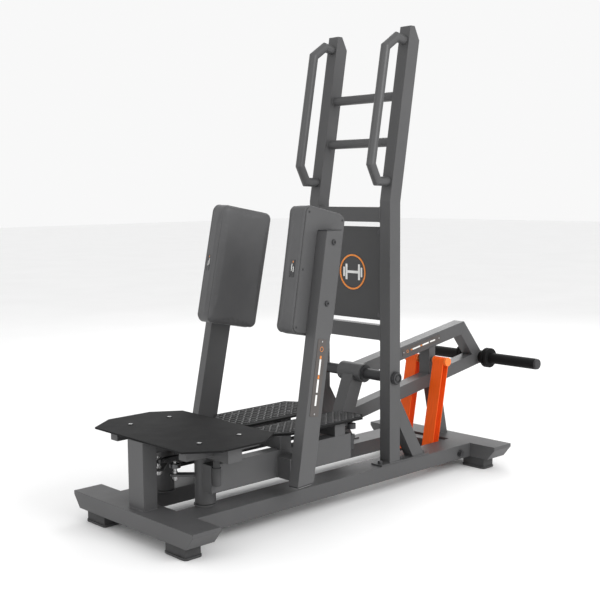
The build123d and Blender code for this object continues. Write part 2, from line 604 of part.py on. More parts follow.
def foot_supports():
    rise = tan(CANT)
    x0, x1 = SUPPORT_X
    low = BEAM_LOW + SWING_HEIGHT
    top = [FOOT_PLATE_INNER_Z + rise * (x - FOOT_PLATE_X[0]) for x in (x0, x1)]
    outline = [(x0, low), (x1, low), (x1, top[1]), (x0, top[0])]
    supports = []
    for y in SUPPORT_Y:
        face = make_face(Polyline(*outline, close=True))
        outer = extrude(Plane.XZ.offset(-y) * face, SUPPORT_DEPTH, dir=(0, 1, 0))
        core = extrude(Plane.XZ.offset(-y - WALL) * offset(face, -WALL), SUPPORT_DEPTH - 2 * WALL, dir=(0, 1, 0))
        supports.append(outer - core)
    return supports


def foot_plate():
    x0, x1 = FOOT_PLATE_X
    y0, y1 = FOOT_PLATE_Y
    plate = extrude(Rectangle((x1 - x0) / cos(CANT), y1 - y0, align=(Align.MIN, Align.MIN)), FOOT_PLATE_T)
    plate = chamfer(plate.edges().filter_by(Axis.Z), 50)
    return Pos(x0, y0, FOOT_PLATE_INNER_Z) * Rot(0, -degrees(CANT), 0) * plate


def pad_frame():
    """A plane at the pad's centre, its Y across the pad and its Z up the pad."""
    return Pos(0, PAD_Y, PAD_Z) * Rot(-degrees(ARM_LEAN), 0, 0)


def pad_plate():
    t, width, height = PAD_PLATE
    plate = Box(t, width, height, align=(Align.MAX, Align.CENTER, Align.CENTER))
    plate = fillet(plate.edges().filter_by(Axis.X), 24)
    return toed_in(pad_frame() * Pos(ARM_IN, 0, 0) * plate)


def hip_pad():
    t, width, height = PAD_SIZE
    cushion = Box(t, width, height, align=(Align.MAX, Align.CENTER, Align.CENTER))
    cushion = fillet(cushion.edges().filter_by(Axis.X), 28)
    cushion = fillet(cushion.faces().sort_by(Axis.X)[0].edges(), 9)
    return toed_in(pad_frame() * Pos(ARM_IN - PAD_PLATE[0], 0, 0) * cushion)


def arm_fittings():
    """Pad bolts, end plugs, the rear buffer with its screw, and the foot plate's clamp knob."""
    outer = ARM_IN + ARM_WIDTH
    bolts = [Pos(outer, arm_front_y(z) + 47, z) * Rot(0, 90, 0) * button_head(11, 6) for z in (811, 1034)]
    low_y, top_y = arm_front_y(ARM_LOW), arm_front_y(ARM_HIGH)
    plug = box((ARM_IN + 1, outer - 1), (low_y + 2, low_y + 88), (ARM_LOW - 7, ARM_LOW))
    plug = fillet(plug.edges().group_by(Axis.Z)[0], 4)
    cap = box((ARM_IN + 1, outer - 1), (top_y + 2, top_y + 89), (ARM_HIGH, ARM_HIGH + 4))
    cap = fillet(cap.edges().group_by(Axis.Z)[-1], 2)
    buffer = fillet(box((168, 206), (SWING_END, SWING_END + 24), (198, 262)).edges().filter_by(Axis.Y), 6)
    screw = Pos(187, SWING_END + 24, 230) * Rot(-90, 0, 0) * button_head(9, 8)
    knob = Pos(214, 905, 291) * Cylinder(17, 20, align=(Align.CENTER, Align.CENTER, Align.MIN))
    knob = knob - box((150, 260), (850, 950), (FOOT_PLATE_INNER_Z + tan(CANT) * 171 - 0.05, 400))
    return [*[toed_in(piece) for piece in (*bolts, plug, cap)], buffer, screw, knob]


# ---- fasteners of the frame ---------------------------------------------------------------------
def frame_bolts():
    pieces = []
    plate_top = BASE_TOP + PLATE_T
    for x, y in base_bolt_places():
        shank = rod_z(x, y, 6, BASE_TOP, plate_top)
        hexagon = Pos(x, y, plate_top) * extrude(RegularPolygon(11, 6), 9)
        pieces.append(both(shank + rod_z(x, y, 12.5, plate_top, plate_top + 2) + Pos(0, 0, 2) * hexagon))
    y, z = ANCHOR_BOLT
    washer = rod_x(y, z, 17, RAIL_OUT, RAIL_OUT + 3)
    pieces.append(both(washer + Pos(RAIL_OUT + 3, y, z) * Rot(0, 90, 0) * extrude(RegularPolygon(13, 6), 12)))
    for x, y in platform_bolt_places():
        head = Pos(x, y, PLATFORM_TOP) * Cylinder(9, 2.5, align=(Align.CENTER, Align.CENTER, Align.MIN))
        pieces.append(head + rod_z(x, y, 5, PLATFORM_BOTTOM, PLATFORM_TOP))
    for x, z in panel_bolt_places():
        pieces.append(panel_bolt(x, z))
        pieces.append(panel_tab(x, z))
    return pieces


def panel_bolt(x, z):
    face = Plane((x, PANEL_Y, z), x_dir=(1, 0, 0), z_dir=(0, -1, 0))
    shank = extrude(face * Circle(4), -PANEL_T)
    return extrude(face * Circle(9), 4) + shank


def panel_tab(x, z):
    """A lug on the upright's inner face, behind the panel."""
    side = 1 if x > 0 else -1
    xs = sorted((side * 138, side * UPRIGHT_IN))
    return box(xs, (PANEL_Y + PANEL_T, PANEL_Y + PANEL_T + 6), (z - 15, z + 15))


# ---- export -------------------------------------------------------------------------------------
def biggest(shape):
    return max(shape.solids(), key=lambda s: s.volume)


def arm_nodes(side, sign):
    makers = {
        "pivot_tube": pivot_tube, "swing_beam": swing_beam, "crank": crank, "ball_stud": ball_stud,
        "pad_arm": pad_arm, "foot_supports": foot_supports, "foot_plate": foot_plate,
        "pad_plate": pad_plate, "hip_pad": hip_pad, "arm_fittings": arm_fittings, "link_rod": link_rod,
    }
    for name, make in makers.items():
        shapes = list(flat([make()]))
        if sign < 0:
            shapes = [mirror(shape, about=Plane.YZ) for shape in shapes]
        yield f"{side}_{name}", shapes


def frame_nodes():
    return {
        "base_crossbeams": [base_crossbeam(0), base_crossbeam(REAR_BEAM_Y)],
        "base_rails": base_rails(), "rubber_feet": rubber_feet(), "front_post": front_post(),
        "platform_frame": platform_frame(), "step_platform": step_platform(), "pivot_plates": pivot_plates(),
        "pivot_shafts": pivot_shafts(), "uprights": both(upright()), "upright_braces": upright_braces(),
        "upright_base_plates": upright_base_plates(), "frame_bolts": frame_bolts(),
        "lower_crossbeam": upright_crossbeam(CROSSBEAM_Z[0]), "upper_crossbeam": upright_crossbeam(CROSSBEAM_Z[1]),
        "back_panel": back_panel(), "panel_emblem": panel_emblem(), "ladder_rungs": ladder_rungs(),
        "grab_handles": grab_handles(upright()), "main_shaft": main_shaft(), "shaft_collars": shaft_collars(),
        "band_anchor": band_anchor(), "lower_band_spools": spools(SPOOL_LOW, 111.5, 112),
        "resistance_bands": resistance_bands(), "lever_stop_post": lever_stop_post(), "stop_bumpers": stop_bumpers(),
    }


def lever_nodes():
    return {
        "lever_hub": lever_hub(), "hub_bearings": hub_bearings(), "lever_down_arm": lever_down_arm(),
        "lever_upper_tube": lever_upper_tube(), "lever_end_tube": lever_end_tube(),
        "lever_lower_tube": lever_lower_tube(), "lever_strut": lever_strut(), "band_peg": band_peg(),
        "upper_band_spools": spools(SPOOL_TOP, 121, PEG_HALF), "weight_horns": weight_horns(),
        "horn_collars": horn_collars(), "horn_end_caps": horn_end_caps(), "rod_pin": rod_pin(),
    }


def export(name, shapes):
    solids = [solid for shape in flat([shapes]) for solid in shape.solids()]
    placed = [Pos(0, -OVERALL_LENGTH / 2, 0) * solid for solid in solids]
    export_step(placed[0] if len(placed) == 1 else Compound(children=placed), f"parts/{name}.step")


os.makedirs("parts", exist_ok=True)
for node, made in {**frame_nodes(), **lever_nodes()}.items():
    export(node, made)
for side_name, side_sign in SIDES:
    for node, made in arm_nodes(side_name, side_sign):
        export(node, made)
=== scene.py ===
"""Standing hip-abduction machine: looks, small parts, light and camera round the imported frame."""

import json
import math

import bmesh
import bpy
from mathutils import Matrix, Vector
from mathutils.bvhtree import BVHTree


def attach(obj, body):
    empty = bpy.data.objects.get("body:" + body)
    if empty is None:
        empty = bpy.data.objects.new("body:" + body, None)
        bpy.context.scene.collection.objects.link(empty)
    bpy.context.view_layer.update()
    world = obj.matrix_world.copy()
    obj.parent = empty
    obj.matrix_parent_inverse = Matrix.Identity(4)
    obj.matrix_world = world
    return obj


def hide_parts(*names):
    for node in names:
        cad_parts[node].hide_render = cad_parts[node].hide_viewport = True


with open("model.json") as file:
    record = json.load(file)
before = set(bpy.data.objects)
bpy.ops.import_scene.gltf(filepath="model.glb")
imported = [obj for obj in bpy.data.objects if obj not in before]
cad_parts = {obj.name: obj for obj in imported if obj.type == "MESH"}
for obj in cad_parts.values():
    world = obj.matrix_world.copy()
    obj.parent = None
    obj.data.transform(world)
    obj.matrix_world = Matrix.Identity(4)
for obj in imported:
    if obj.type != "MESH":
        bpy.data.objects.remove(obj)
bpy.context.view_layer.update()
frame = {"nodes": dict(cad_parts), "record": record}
record = frame["record"]

BASE_LENGTH = 2.024                  # the base runs this far along Y, centred on the origin
LEAN = math.radians(10)              # the ladder's lean
ARM_LEAN = math.radians(11)          # the lean of the pads and their arms
TOE_IN = math.radians(7)             # their turn about a vertical line
CANT = math.radians(3)               # the foot plates' slope down towards the middle
SIDES = (("right", 1), ("left", -1))


def at(x, y, z):
    """A point of the shared frame in metres, from millimetres with y measured from the base's front face."""
    return Vector((x / 1000, y / 1000 - BASE_LENGTH / 2, z / 1000))


def flipped(sign):
    """Mirrors across X when sign is -1."""
    return Matrix.Diagonal((sign, 1, 1, 1))


# ---- materials ----------------------------------------------------------------------------------
def new_material(name, rgb, rough, metallic=0.0, specular=0.5):
    mat = bpy.data.materials.new(name)
    mat.use_nodes = True
    shader = mat.node_tree.nodes["Principled BSDF"]
    shader.inputs["Base Color"].default_value = (*rgb, 1)
    shader.inputs["Roughness"].default_value = rough
    shader.inputs["Metallic"].default_value = metallic
    shader.inputs["Specular IOR Level"].default_value = specular
    return mat, shader


def add(mat, kind, **values):
    node = mat.node_tree.nodes.new(kind)
    for key, value in values.items():
        if key in node.inputs:
            node.inputs[key].default_value = value
        else:
            setattr(node, key, value)
    return node


def noise(mat, scale, detail=3.0, rough=0.55, stretch=None):
    coords = add(mat, "ShaderNodeTexCoord")
    source = coords.outputs["Object"]
    if stretch:
        mapping = add(mat, "ShaderNodeMapping")
        mapping.inputs["Scale"].default_value = stretch
        mat.node_tree.links.new(source, mapping.inputs["Vector"])
        source = mapping.outputs["Vector"]
    texture = add(mat, "ShaderNodeTexNoise", Scale=scale, Detail=detail, Roughness=rough)
    mat.node_tree.links.new(source, texture.inputs["Vector"])
    return texture.outputs["Fac"]


def cells(mat, scale, feature="DISTANCE_TO_EDGE"):
    coords = add(mat, "ShaderNodeTexCoord")
    texture = add(mat, "ShaderNodeTexVoronoi", feature=feature)
    texture.inputs["Scale"].default_value = scale
    mat.node_tree.links.new(coords.outputs["Object"], texture.inputs["Vector"])
    return texture.outputs["Distance"]


def ramp(mat, source, low, high, start=0.3, end=0.7):
    node = add(mat, "ShaderNodeValToRGB")
    elements = node.color_ramp.elements
    elements[0].position, elements[1].position = start, end
    elements[0].color, elements[1].color = (*low, 1), (*high, 1)
    mat.node_tree.links.new(source, node.inputs["Fac"])
    return node.outputs["Color"]


def remap(mat, source, low, high):
    node = add(mat, "ShaderNodeMapRange")
    node.inputs["To Min"].default_value = low
    node.inputs["To Max"].default_value = high
    mat.node_tree.links.new(source, node.inputs["Value"])
    return node.outputs["Result"]


def bump(mat, source, strength, distance, below=None):
    node = add(mat, "ShaderNodeBump", Strength=strength, Distance=distance)
    mat.node_tree.links.new(source, node.inputs["Height"])
    if below:
        mat.node_tree.links.new(below, node.inputs["Normal"])
    return node.outputs["Normal"]


def rounded(mat, radius):
    node = add(mat, "ShaderNodeBevel", samples=6)
    node.inputs["Radius"].default_value = radius
    return node.outputs["Normal"]


def shade(rgb, factor):
    return tuple(channel * factor for channel in rgb)


def powder_coat(name, rgb, rough=0.46, edge=0.003, grain=1.0, specular=0.42):
    """Satin powder coat: faint cloudiness, orange-peel texture and softened edges."""
    mat, shader = new_material(name, rgb, rough, specular=specular)
    links = mat.node_tree.links
    cloud = noise(mat, 3.2, 4)
    speck = noise(mat, 950, 2)
    links.new(ramp(mat, cloud, shade(rgb, 0.93), shade(rgb, 1.07)), shader.inputs["Base Color"])
    links.new(remap(mat, noise(mat, 14, 5), rough - 0.06, rough + 0.07), shader.inputs["Roughness"])
    peel = bump(mat, noise(mat, 260, 2), 0.10 * grain, 0.0006, rounded(mat, edge))
    links.new(bump(mat, speck, 0.16 * grain, 0.0002, peel), shader.inputs["Normal"])
    return mat


def rubber(name, rgb, rough=0.72, scale=420):
    mat, shader = new_material(name, rgb, rough, specular=0.3)
    links = mat.node_tree.links
    links.new(ramp(mat, noise(mat, 9, 6), shade(rgb, 0.82), shade(rgb, 1.25)), shader.inputs["Base Color"])
    links.new(remap(mat, noise(mat, 30, 4), rough - 0.08, rough + 0.1), shader.inputs["Roughness"])
    links.new(bump(mat, noise(mat, scale, 4), 0.3, 0.0004, rounded(mat, 0.0015)), shader.inputs["Normal"])
    return mat


def moulded(name, rgb, rough=0.5, scale=700):
    mat, shader = new_material(name, rgb, rough, specular=0.4)
    links = mat.node_tree.links
    links.new(ramp(mat, noise(mat, 12, 3), shade(rgb, 0.92), shade(rgb, 1.08)), shader.inputs["Base Color"])
    links.new(remap(mat, noise(mat, 25, 4), rough - 0.05, rough + 0.07), shader.inputs["Roughness"])
    links.new(bump(mat, cells(mat, scale), 0.12, 0.0002, rounded(mat, 0.0012)), shader.inputs["Normal"])
    return mat


def steel(name, rgb, rough=0.3):
    """Turned or plated steel: fine lines, small stains and softened edges."""
    mat, shader = new_material(name, rgb, rough, metallic=1.0)
    links = mat.node_tree.links
    links.new(ramp(mat, noise(mat, 22, 6), shade(rgb, 0.82), shade(rgb, 1.1)), shader.inputs["Base Color"])
    links.new(remap(mat, noise(mat, 60, 5), rough - 0.08, rough + 0.12), shader.inputs["Roughness"])
    lines = noise(mat, 60, 3, stretch=(40, 1, 1))
    links.new(bump(mat, lines, 0.08, 0.0002, rounded(mat, 0.0006)), shader.inputs["Normal"])
    return mat


def elastic_band(name, rgb):
    """Layered elastic: faint lengthwise streaks and a matt surface."""
    mat, shader = new_material(name, rgb, 0.6, specular=0.2)
    links = mat.node_tree.links
    streak = noise(mat, 35, 4, stretch=(14, 1, 0.35))
    links.new(ramp(mat, streak, shade(rgb, 0.86), shade(rgb, 1.06)), shader.inputs["Base Color"])
    links.new(remap(mat, streak, 0.46, 0.66), shader.inputs["Roughness"])
    links.new(bump(mat, noise(mat, 330, 4), 0.22, 0.0004, rounded(mat, 0.001)), shader.inputs["Normal"])
    return mat


def vinyl(name, rgb):
    """Synthetic leather: pebbled grain with finer creases and slight tone changes."""
    mat, shader = new_material(name, rgb, 0.5, specular=0.38)
    links = mat.node_tree.links
    links.new(ramp(mat, noise(mat, 6, 6), shade(rgb, 0.88), shade(rgb, 1.12)), shader.inputs["Base Color"])
    links.new(remap(mat, noise(mat, 18, 5), 0.44, 0.6), shader.inputs["Roughness"])
    pebble = bump(mat, cells(mat, 620), 0.3, 0.0004)
    crease = bump(mat, noise(mat, 170, 6, 0.65), 0.16, 0.0006, pebble)
    links.new(crease, shader.inputs["Normal"])
    shader.inputs["Sheen Weight"].default_value = 0.06
    return mat


CHARCOAL = (0.072, 0.072, 0.0735)
MATERIALS = {
    "frame_charcoal": powder_coat("Frame charcoal", CHARCOAL),
    "panel_charcoal": powder_coat("Panel charcoal", shade(CHARCOAL, 0.76), 0.5, 0.001),
    "grip_charcoal": powder_coat("Grip charcoal", shade(CHARCOAL, 0.98), 0.42, 0.004, 1.4),
    "black_paint": powder_coat("Black paint", (0.008, 0.008, 0.0083), 0.66, 0.0015, 1.5, 0.14),
    "foot_rubber": rubber("Foot rubber", (0.052, 0.052, 0.053), 0.62),
    "black_plastic": moulded("Black plastic", (0.032, 0.032, 0.034)),
    "zinc_steel": steel("Zinc steel", (0.5, 0.5, 0.5), 0.34),
    "link_steel": steel("Link steel", (0.12, 0.12, 0.123), 0.38),
    "orange_plastic": moulded("Orange plastic", (0.95, 0.19, 0.025), 0.42),
    "orange_band": elastic_band("Orange band", (1.0, 0.125, 0.01)),
    "pad_vinyl": vinyl("Pad vinyl", (0.078, 0.078, 0.08)),
}
# The lugs' grey, lighter than the black paint, is a painted highlight on the raised lugs.
TREAD_LUG_PAINTED_HIGHLIGHT = powder_coat("Tread lug painted highlight", (0.05, 0.05, 0.051), 0.42, 0.0004, 1.2, 0.4)
WHITE_PRINT = moulded("White print", (0.8, 0.8, 0.78), 0.45)
STRIP_BROWN = moulded("Strip face", (0.075, 0.066, 0.062), 0.4)
# The plug's pale grey is partly the plastic's own colour and partly a painted highlight.
PLUG_PART_PAINTED_HIGHLIGHT = moulded("Plug pale with painted highlight", (0.34, 0.34, 0.34), 0.5)
ORANGE_PRINT = moulded("Orange print", (0.82, 0.27, 0.05), 0.45)

for entry in record["subparts"]:
    node = frame["nodes"][entry["node"]]
    for place in node.material_slots:
        place.material = MATERIALS[entry["material_slot"]]
for place in frame["nodes"]["panel_emblem"].material_slots:
    place.material = ORANGE_PRINT


# ---- mesh helpers -------------------------------------------------------------------------------
def finish_piece(name, bm, mat, body, smooth=True):
    """Turns a bmesh into a named piece that moves with a body and shows one material."""
    name = name.replace(" ", "_").lower()
    mesh = bpy.data.meshes.new(name)
    bmesh.ops.recalc_face_normals(bm, faces=bm.faces)
    bm.to_mesh(mesh)
    bm.free()
    for face in mesh.polygons:
        face.use_smooth = smooth
    piece = bpy.data.objects.new(name, mesh)
    bpy.context.scene.collection.objects.link(piece)
    mesh.materials.append(mat)
    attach(piece, body)
    return piece


def rings_to_tube(bm, rings):
    """Joins closed rings of points into a capped tube."""
    made = [[bm.verts.new(p) for p in ring] for ring in rings]
    count = len(made[0])
    for low, high in zip(made, made[1:]):
        for i in range(count):
            j = (i + 1) % count
            bm.faces.new((low[i], low[j], high[j], high[i]))
    bm.faces.new(made[0][::-1])
    bm.faces.new(made[-1])


def rounded_outline(w, h, r, steps=5):
    """Points of a rounded rectangle centred on the origin."""
    points = []
    right, top = w / 2 - r, h / 2 - r
    for cx, cy, start in ((right, top, 0), (-right, top, 90), (-right, -top, 180), (right, -top, 270)):
        for i in range(steps + 1):
            angle = math.radians(start + 90 * i / steps)
            points.append((cx + r * math.cos(angle), cy + r * math.sin(angle)))
    return points


def add_plate(bm, place, w, h, r, t, edge=0.0004):
    """A thin rounded plate lying on the place's XY plane, with a softened upper edge."""
    levels = ((0, 0), (0, t - edge), (edge, t))
    rings = []
    for inset, z in levels:
        outline = rounded_outline(w - 2 * inset, h - 2 * inset, max(r - inset, 0.0002))
        rings.append([place @ Vector((x, y, z)) for x, y in outline])
    rings_to_tube(bm, rings)


def add_screw(bm, place, r, t):
    """A domed screw head with a hexagon socket, standing on the place's XY plane."""
    steps = 24
    sixth = math.pi / 3
    rings = []
    profile = ((r, 0), (r, t * 0.35), (r * 0.86, t * 0.8), (r * 0.62, t), (r * 0.46, t), (r * 0.42, t * 0.35))
    for radius, z in profile:
        ring = []
        for i in range(steps):
            angle = 2 * math.pi * i / steps
            reach = radius
            if radius < r * 0.5:
                reach = radius * math.cos(sixth / 2) / math.cos(angle % sixth - sixth / 2)
            ring.append(place @ Vector((reach * math.cos(angle), reach * math.sin(angle), z)))
        rings.append(ring)
    rings_to_tube(bm, rings)


def axes_place(origin, x_axis, z_axis):
    """A transform with its X along x_axis and its Z along z_axis."""
    z = Vector(z_axis).normalized()
    x = Vector(x_axis).normalized()
    y = z.cross(x)
    place = Matrix((x, y, z)).transposed().to_4x4()
    place.translation = origin
    return place


# ---- pads ---------------------------------------------------------------------------------------
TURN_ABOUT = at(297.5, 600, 0)
TURN = Matrix.Translation(TURN_ABOUT) @ Matrix.Rotation(TOE_IN, 4, "Z") @ Matrix.Translation(-TURN_ABOUT)
UNTURN = TURN.inverted()
PAD_CENTRE = at(0, 691, 921)
PAD_UP = Vector((0, math.sin(ARM_LEAN), math.cos(ARM_LEAN)))
PAD_ACROSS = Vector((0, math.cos(ARM_LEAN), -math.sin(ARM_LEAN)))
PAD_HALF_WIDTH, PAD_HALF_HEIGHT = 0.118, 0.236
PAD_BACK = 0.2693                          # X of the pad's plate side before the pads are turned
SEAM_X = 0.1985                            # X of the welt round the pad's face
PAD_CORNER = 0.028                         # radius of the pad's corners seen from its face
VOXEL = 0.0042
CROWN = 0.0032                             # how far the middle of the face stands out
MAX_PUFF = 0.0035
MAX_SIDE_PUFF = 0.001
SEAM_DEPTH, SEAM_SPREAD = 0.0012, 0.003    # how far the cover is drawn in at the welt, and over what width
PLATE_FACE_X = 0.275                       # X of the pad plate's outer face
TAG_X, TAG_THICKNESS = 0.241, 0.0016
PRINT_THICKNESS, PRINT_EDGE = 0.0003, 0.0001


def pad_coords(co):
    """Distance across and up the pad from its centre."""
    offset = co - PAD_CENTRE
    return offset.dot(PAD_ACROSS), offset.dot(PAD_UP)


def puff(piece, frames=20):
    """Inflates the cover a little with cloth pressure and keeps the result."""
    scene = bpy.context.scene
    cloth = piece.modifiers.new("Cover", "CLOTH")
    settings = cloth.settings
    settings.use_pressure = True
    settings.uniform_pressure_force = 4
    settings.tension_stiffness = settings.compression_stiffness = 40
    settings.bending_stiffness = 2
    settings.effector_weights.gravity = 0
    pinned = piece.vertex_groups.new(name="back")
    pinned.add([v.index for v in piece.data.vertices if v.co.x > PAD_BACK - 0.012], 1.0, "REPLACE")
    settings.vertex_group_mass = "back"
    cloth.point_cache.frame_start = 1
    cloth.point_cache.frame_end = frames
    for step in range(1, frames + 1):
        scene.frame_set(step)
    shown = piece.evaluated_get(bpy.context.evaluated_depsgraph_get())
    moved = [v.co.copy() for v in shown.data.vertices]
    piece.modifiers.clear()
    scene.frame_set(1)
    return moved


def apply_modifiers(piece):
    """Gives the piece the mesh that its modifiers make, and removes them."""
    shown = piece.evaluated_get(bpy.context.evaluated_depsgraph_get())
    mesh = bpy.data.meshes.new_from_object(shown)
    piece.modifiers.clear()
    piece.data = mesh
    return mesh


def cover_point(start, end):
    """Where a point of the cover ends up: a limited puff, a crown on the face and a drawn-in seam."""
    shift = end - start
    if shift.length > MAX_PUFF:
        shift *= MAX_PUFF / shift.length
    co = start + shift
    across, up = pad_coords(start)
    u, v = across / PAD_HALF_WIDTH, up / PAD_HALF_HEIGHT
    if start.x < SEAM_X - 0.004:
        co.x -= CROWN * max(0.0, 1 - u ** 8) * max(0.0, 1 - v ** 8)
    side = Vector((0, 0, 0))
    if abs(u) > 0.93:
        side += PAD_ACROSS * math.copysign(1, u)
    if abs(v) > 0.96:
        side += PAD_UP * math.copysign(1, v)
    seam_pull = SEAM_DEPTH * math.exp(-((start.x - SEAM_X) / SEAM_SPREAD) ** 2)
    outward = shift.dot(side.normalized()) if side.length else 0
    co -= side * (seam_pull + max(0.0, outward - MAX_SIDE_PUFF))
    co.x = min(co.x, PAD_BACK)
    return co


def make_cushion():
    """The right pad's cushion: remeshed, puffed, crowned on its face and drawn in along its seam."""
    source = frame["nodes"]["right_hip_pad"]
    piece = bpy.data.objects.new("right_pad_cushion", source.data.copy())
    piece.data.transform(UNTURN)
    bpy.context.scene.collection.objects.link(piece)
    remesh = piece.modifiers.new("Even mesh", "REMESH")
    remesh.mode, remesh.voxel_size = "VOXEL", VOXEL
    mesh = apply_modifiers(piece)
    rest = [v.co.copy() for v in mesh.vertices]
    moved = puff(piece)
    for vertex, start, end in zip(mesh.vertices, rest, moved):
        vertex.co = cover_point(start, end)
    smooth = piece.modifiers.new("Smooth", "SMOOTH")
    smooth.factor, smooth.iterations = 0.4, 1
    subdivide = piece.modifiers.new("Fine", "SUBSURF")
    subdivide.levels = subdivide.render_levels = 1
    mesh = apply_modifiers(piece)
    mesh.transform(TURN)
    mesh.materials.clear()
    mesh.materials.append(MATERIALS["pad_vinyl"])
    for face in mesh.polygons:
        face.use_smooth = True
    return piece


def mirrored_copy(piece, name):
    mesh = piece.data.copy()
    mesh.transform(flipped(-1))
    mesh.flip_normals()
    twin = bpy.data.objects.new(name, mesh)
    bpy.context.scene.collection.objects.link(twin)
    return twin


def place_pad(piece, side):
    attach(piece, f"{side}_arm")
    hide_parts(f"{side}_hip_pad")


def on_pad(x, across, up):
    """A point at this X and this far across and up the pad, before it is turned."""
    return PAD_CENTRE + Vector((x, 0, 0)) + PAD_ACROSS * across + PAD_UP * up


def welt_path(x):
    outline = rounded_outline(2 * PAD_HALF_WIDTH, 2 * PAD_HALF_HEIGHT, PAD_CORNER, 10)
    return [on_pad(x, across, up) for across, up in outline]


def snapped_to(piece, points, inset):
    """The points moved onto the piece's surface from outside, then sunk in by inset."""
    mesh = piece.data
    tree = BVHTree.FromPolygons([v.co for v in mesh.vertices], [p.vertices for p in mesh.polygons])
    middle = sum(points, Vector()) / len(points)
    found = []
    for point in points:
        outward = (point - middle).normalized()
        hit = tree.ray_cast(point + outward * 0.03, -outward)[0]
        found.append((hit or point) - outward * inset)
    return found


def bead_along(bm, points, radius, sides=8, ripple=0.0, pitch=0.004):
    """A round bead swept round a closed path, with an optional ripple like a weld's."""
    path = []
    for a, b in zip(points, points[1:] + points[:1]):
        steps = max(1, round((b - a).length / pitch))
        path += [a.lerp(b, i / steps) for i in range(steps)]
    rings = []
    for i, p in enumerate(path):
        along = (path[(i + 1) % len(path)] - path[i - 1]).normalized()
        other = along.orthogonal().normalized()
        if abs(along.x) <= 0.9:
            other = along.cross(Vector((1, 0, 0))).normalized()
        third = along.cross(other)
        r = radius * (1 + ripple * math.sin(i * 2.1))
        ring = []
        for k in range(sides):
            angle = 2 * math.pi * k / sides
            ring.append(bm.verts.new(p + other * r * math.cos(angle) + third * r * math.sin(angle)))
        rings.append(ring)
    for low, high in zip(rings, rings[1:] + rings[:1]):
        for k in range(sides):
            j = (k + 1) % sides
            bm.faces.new((low[k], low[j], high[j], high[k]))


def add_pad_welts(side, sign):
    """A welt round the pad's face and a thinner one round its back."""
    bm = bmesh.new()
    for seam_x, radius in ((SEAM_X, 0.0022), (PAD_BACK - 0.006, 0.0015)):
        path = snapped_to(cushion, [TURN @ p for p in welt_path(seam_x)], radius * 0.2)
        bead_along(bm, [flipped(sign) @ p for p in path], radius, pitch=0.006)
    finish_piece(f"{side.title()} pad welt", bm, MATERIALS["pad_vinyl"], f"{side}_arm")


def add_pad_screws(side, sign):
    """Six small screws through the pad's plate."""
    bm = bmesh.new()
    for up in (0.212, -0.212, 0):
        for across in (-0.1, 0.1):
            place = axes_place(on_pad(PLATE_FACE_X, across, up), PAD_ACROSS, (1, 0, 0))
            add_screw(bm, flipped(sign) @ TURN @ place, 0.0042, 0.0022)
    name = f"{side.title()} pad plate screws"
    finish_piece(name, bm, MATERIALS["black_plastic"], f"{side}_arm")


def add_pad_tag(side, sign):
    """A small tag with plain marks on the pad's front edge; its X runs up the pad."""
    body = f"{side}_arm"
    place = axes_place(on_pad(TAG_X, 0.0006 - PAD_HALF_WIDTH, 0), PAD_UP, -PAD_ACROSS)
    front = flipped(sign) @ TURN @ place
    bm = bmesh.new()
    add_plate(bm, front, 0.066, 0.026, 0.003, TAG_THICKNESS)
    finish_piece(f"{side.title()} pad tag", bm, MATERIALS["black_plastic"], body)
    for tone, mat, slot_name, blocks in (
            ("light", WHITE_PRINT, "black_plastic", ((0.004, 0.004, 0.026), (-0.003, -0.004, 0.02))),
            ("orange", ORANGE_PRINT, "orange_plastic", ((0.024, 0.0, 0.008),))):
        bm = bmesh.new()
        for along, offset, length in blocks:
            block = front @ Matrix.Translation((along, offset, TAG_THICKNESS))
            add_plate(bm, block, length, 0.0035, 0.001, PRINT_THICKNESS, PRINT_EDGE)
        finish_piece(f"{side.title()} pad tag {tone} marks", bm, mat, body)


cushion = make_cushion()
twin = mirrored_copy(cushion, "left_pad_cushion")
place_pad(cushion, "right")
place_pad(twin, "left")
for side, sign in SIDES:
    add_pad_welts(side, sign)
    add_pad_screws(side, sign)
    add_pad_tag(side, sign)


# ---- foot plate treads --------------------------------------------------------------------------
PLATE_START = at(26, 520, 319)
PLATE_SPAN, PLATE_RUN, PLATE_CORNER = 0.2043, 0.483, 0.05
LUG_PITCH = 0.0188
LUG_LENGTH, LUG_WIDTH, LUG_HEIGHT = 0.0235, 0.0082, 0.0026


def on_plate(x, y, margin):
    """Whether a point of the foot plate is at least margin inside its chamfered outline."""
    dx = min(x, PLATE_SPAN - x)
    dy = min(y, PLATE_RUN - y)
    past_corner = (dx + dy - PLATE_CORNER) / math.sqrt(2)
    return dx > margin and dy > margin and past_corner > margin


def add_lug(bm, place):
    """A low lens-shaped lug."""
    steps = 14
    rings = []
    for scale, height in ((1.0, 0), (0.86, 0.6), (0.55, 0.95), (0.2, 1)):
        z = height * LUG_HEIGHT if height else -0.0002
        ring = []
        for i in range(steps):
            angle = 2 * math.pi * i / steps
            x = scale * LUG_LENGTH / 2 * math.cos(angle)
            y = scale * LUG_WIDTH / 2 * math.sin(angle)
            ring.append(place @ Vector((x, y, z)))
        rings.append(ring)
    rings_to_tube(bm, rings)


def plate_place(x, y):
    """A place on the right foot plate, x across it and y along it from its inner front corner."""
    tilt = Matrix.Rotation(-CANT, 4, "Y")
    return Matrix.Translation(PLATE_START) @ tilt @ Matrix.Translation((x, y, 0))


def add_treads(side, sign):
    """Rows of lugs turned alternately left and right, all clear of the plate's edge."""
    bm = bmesh.new()
    for i in range(int(PLATE_SPAN / LUG_PITCH) + 1):
        for j in range(int(PLATE_RUN / LUG_PITCH) + 1):
            x, y = (i + 0.5) * LUG_PITCH, (j + 0.5) * LUG_PITCH
            if on_plate(x, y, 0.011):
                turn = Matrix.Rotation(math.radians(45 if (i + j) % 2 else -45), 4, "Z")
                add_lug(bm, flipped(sign) @ plate_place(x, y) @ turn)
    # The lugs take the tread material, whose lighter grey is a painted highlight.
    finish_piece(f"{side.title()} foot plate lugs", bm, TREAD_LUG_PAINTED_HIGHLIGHT, f"{side}_arm")


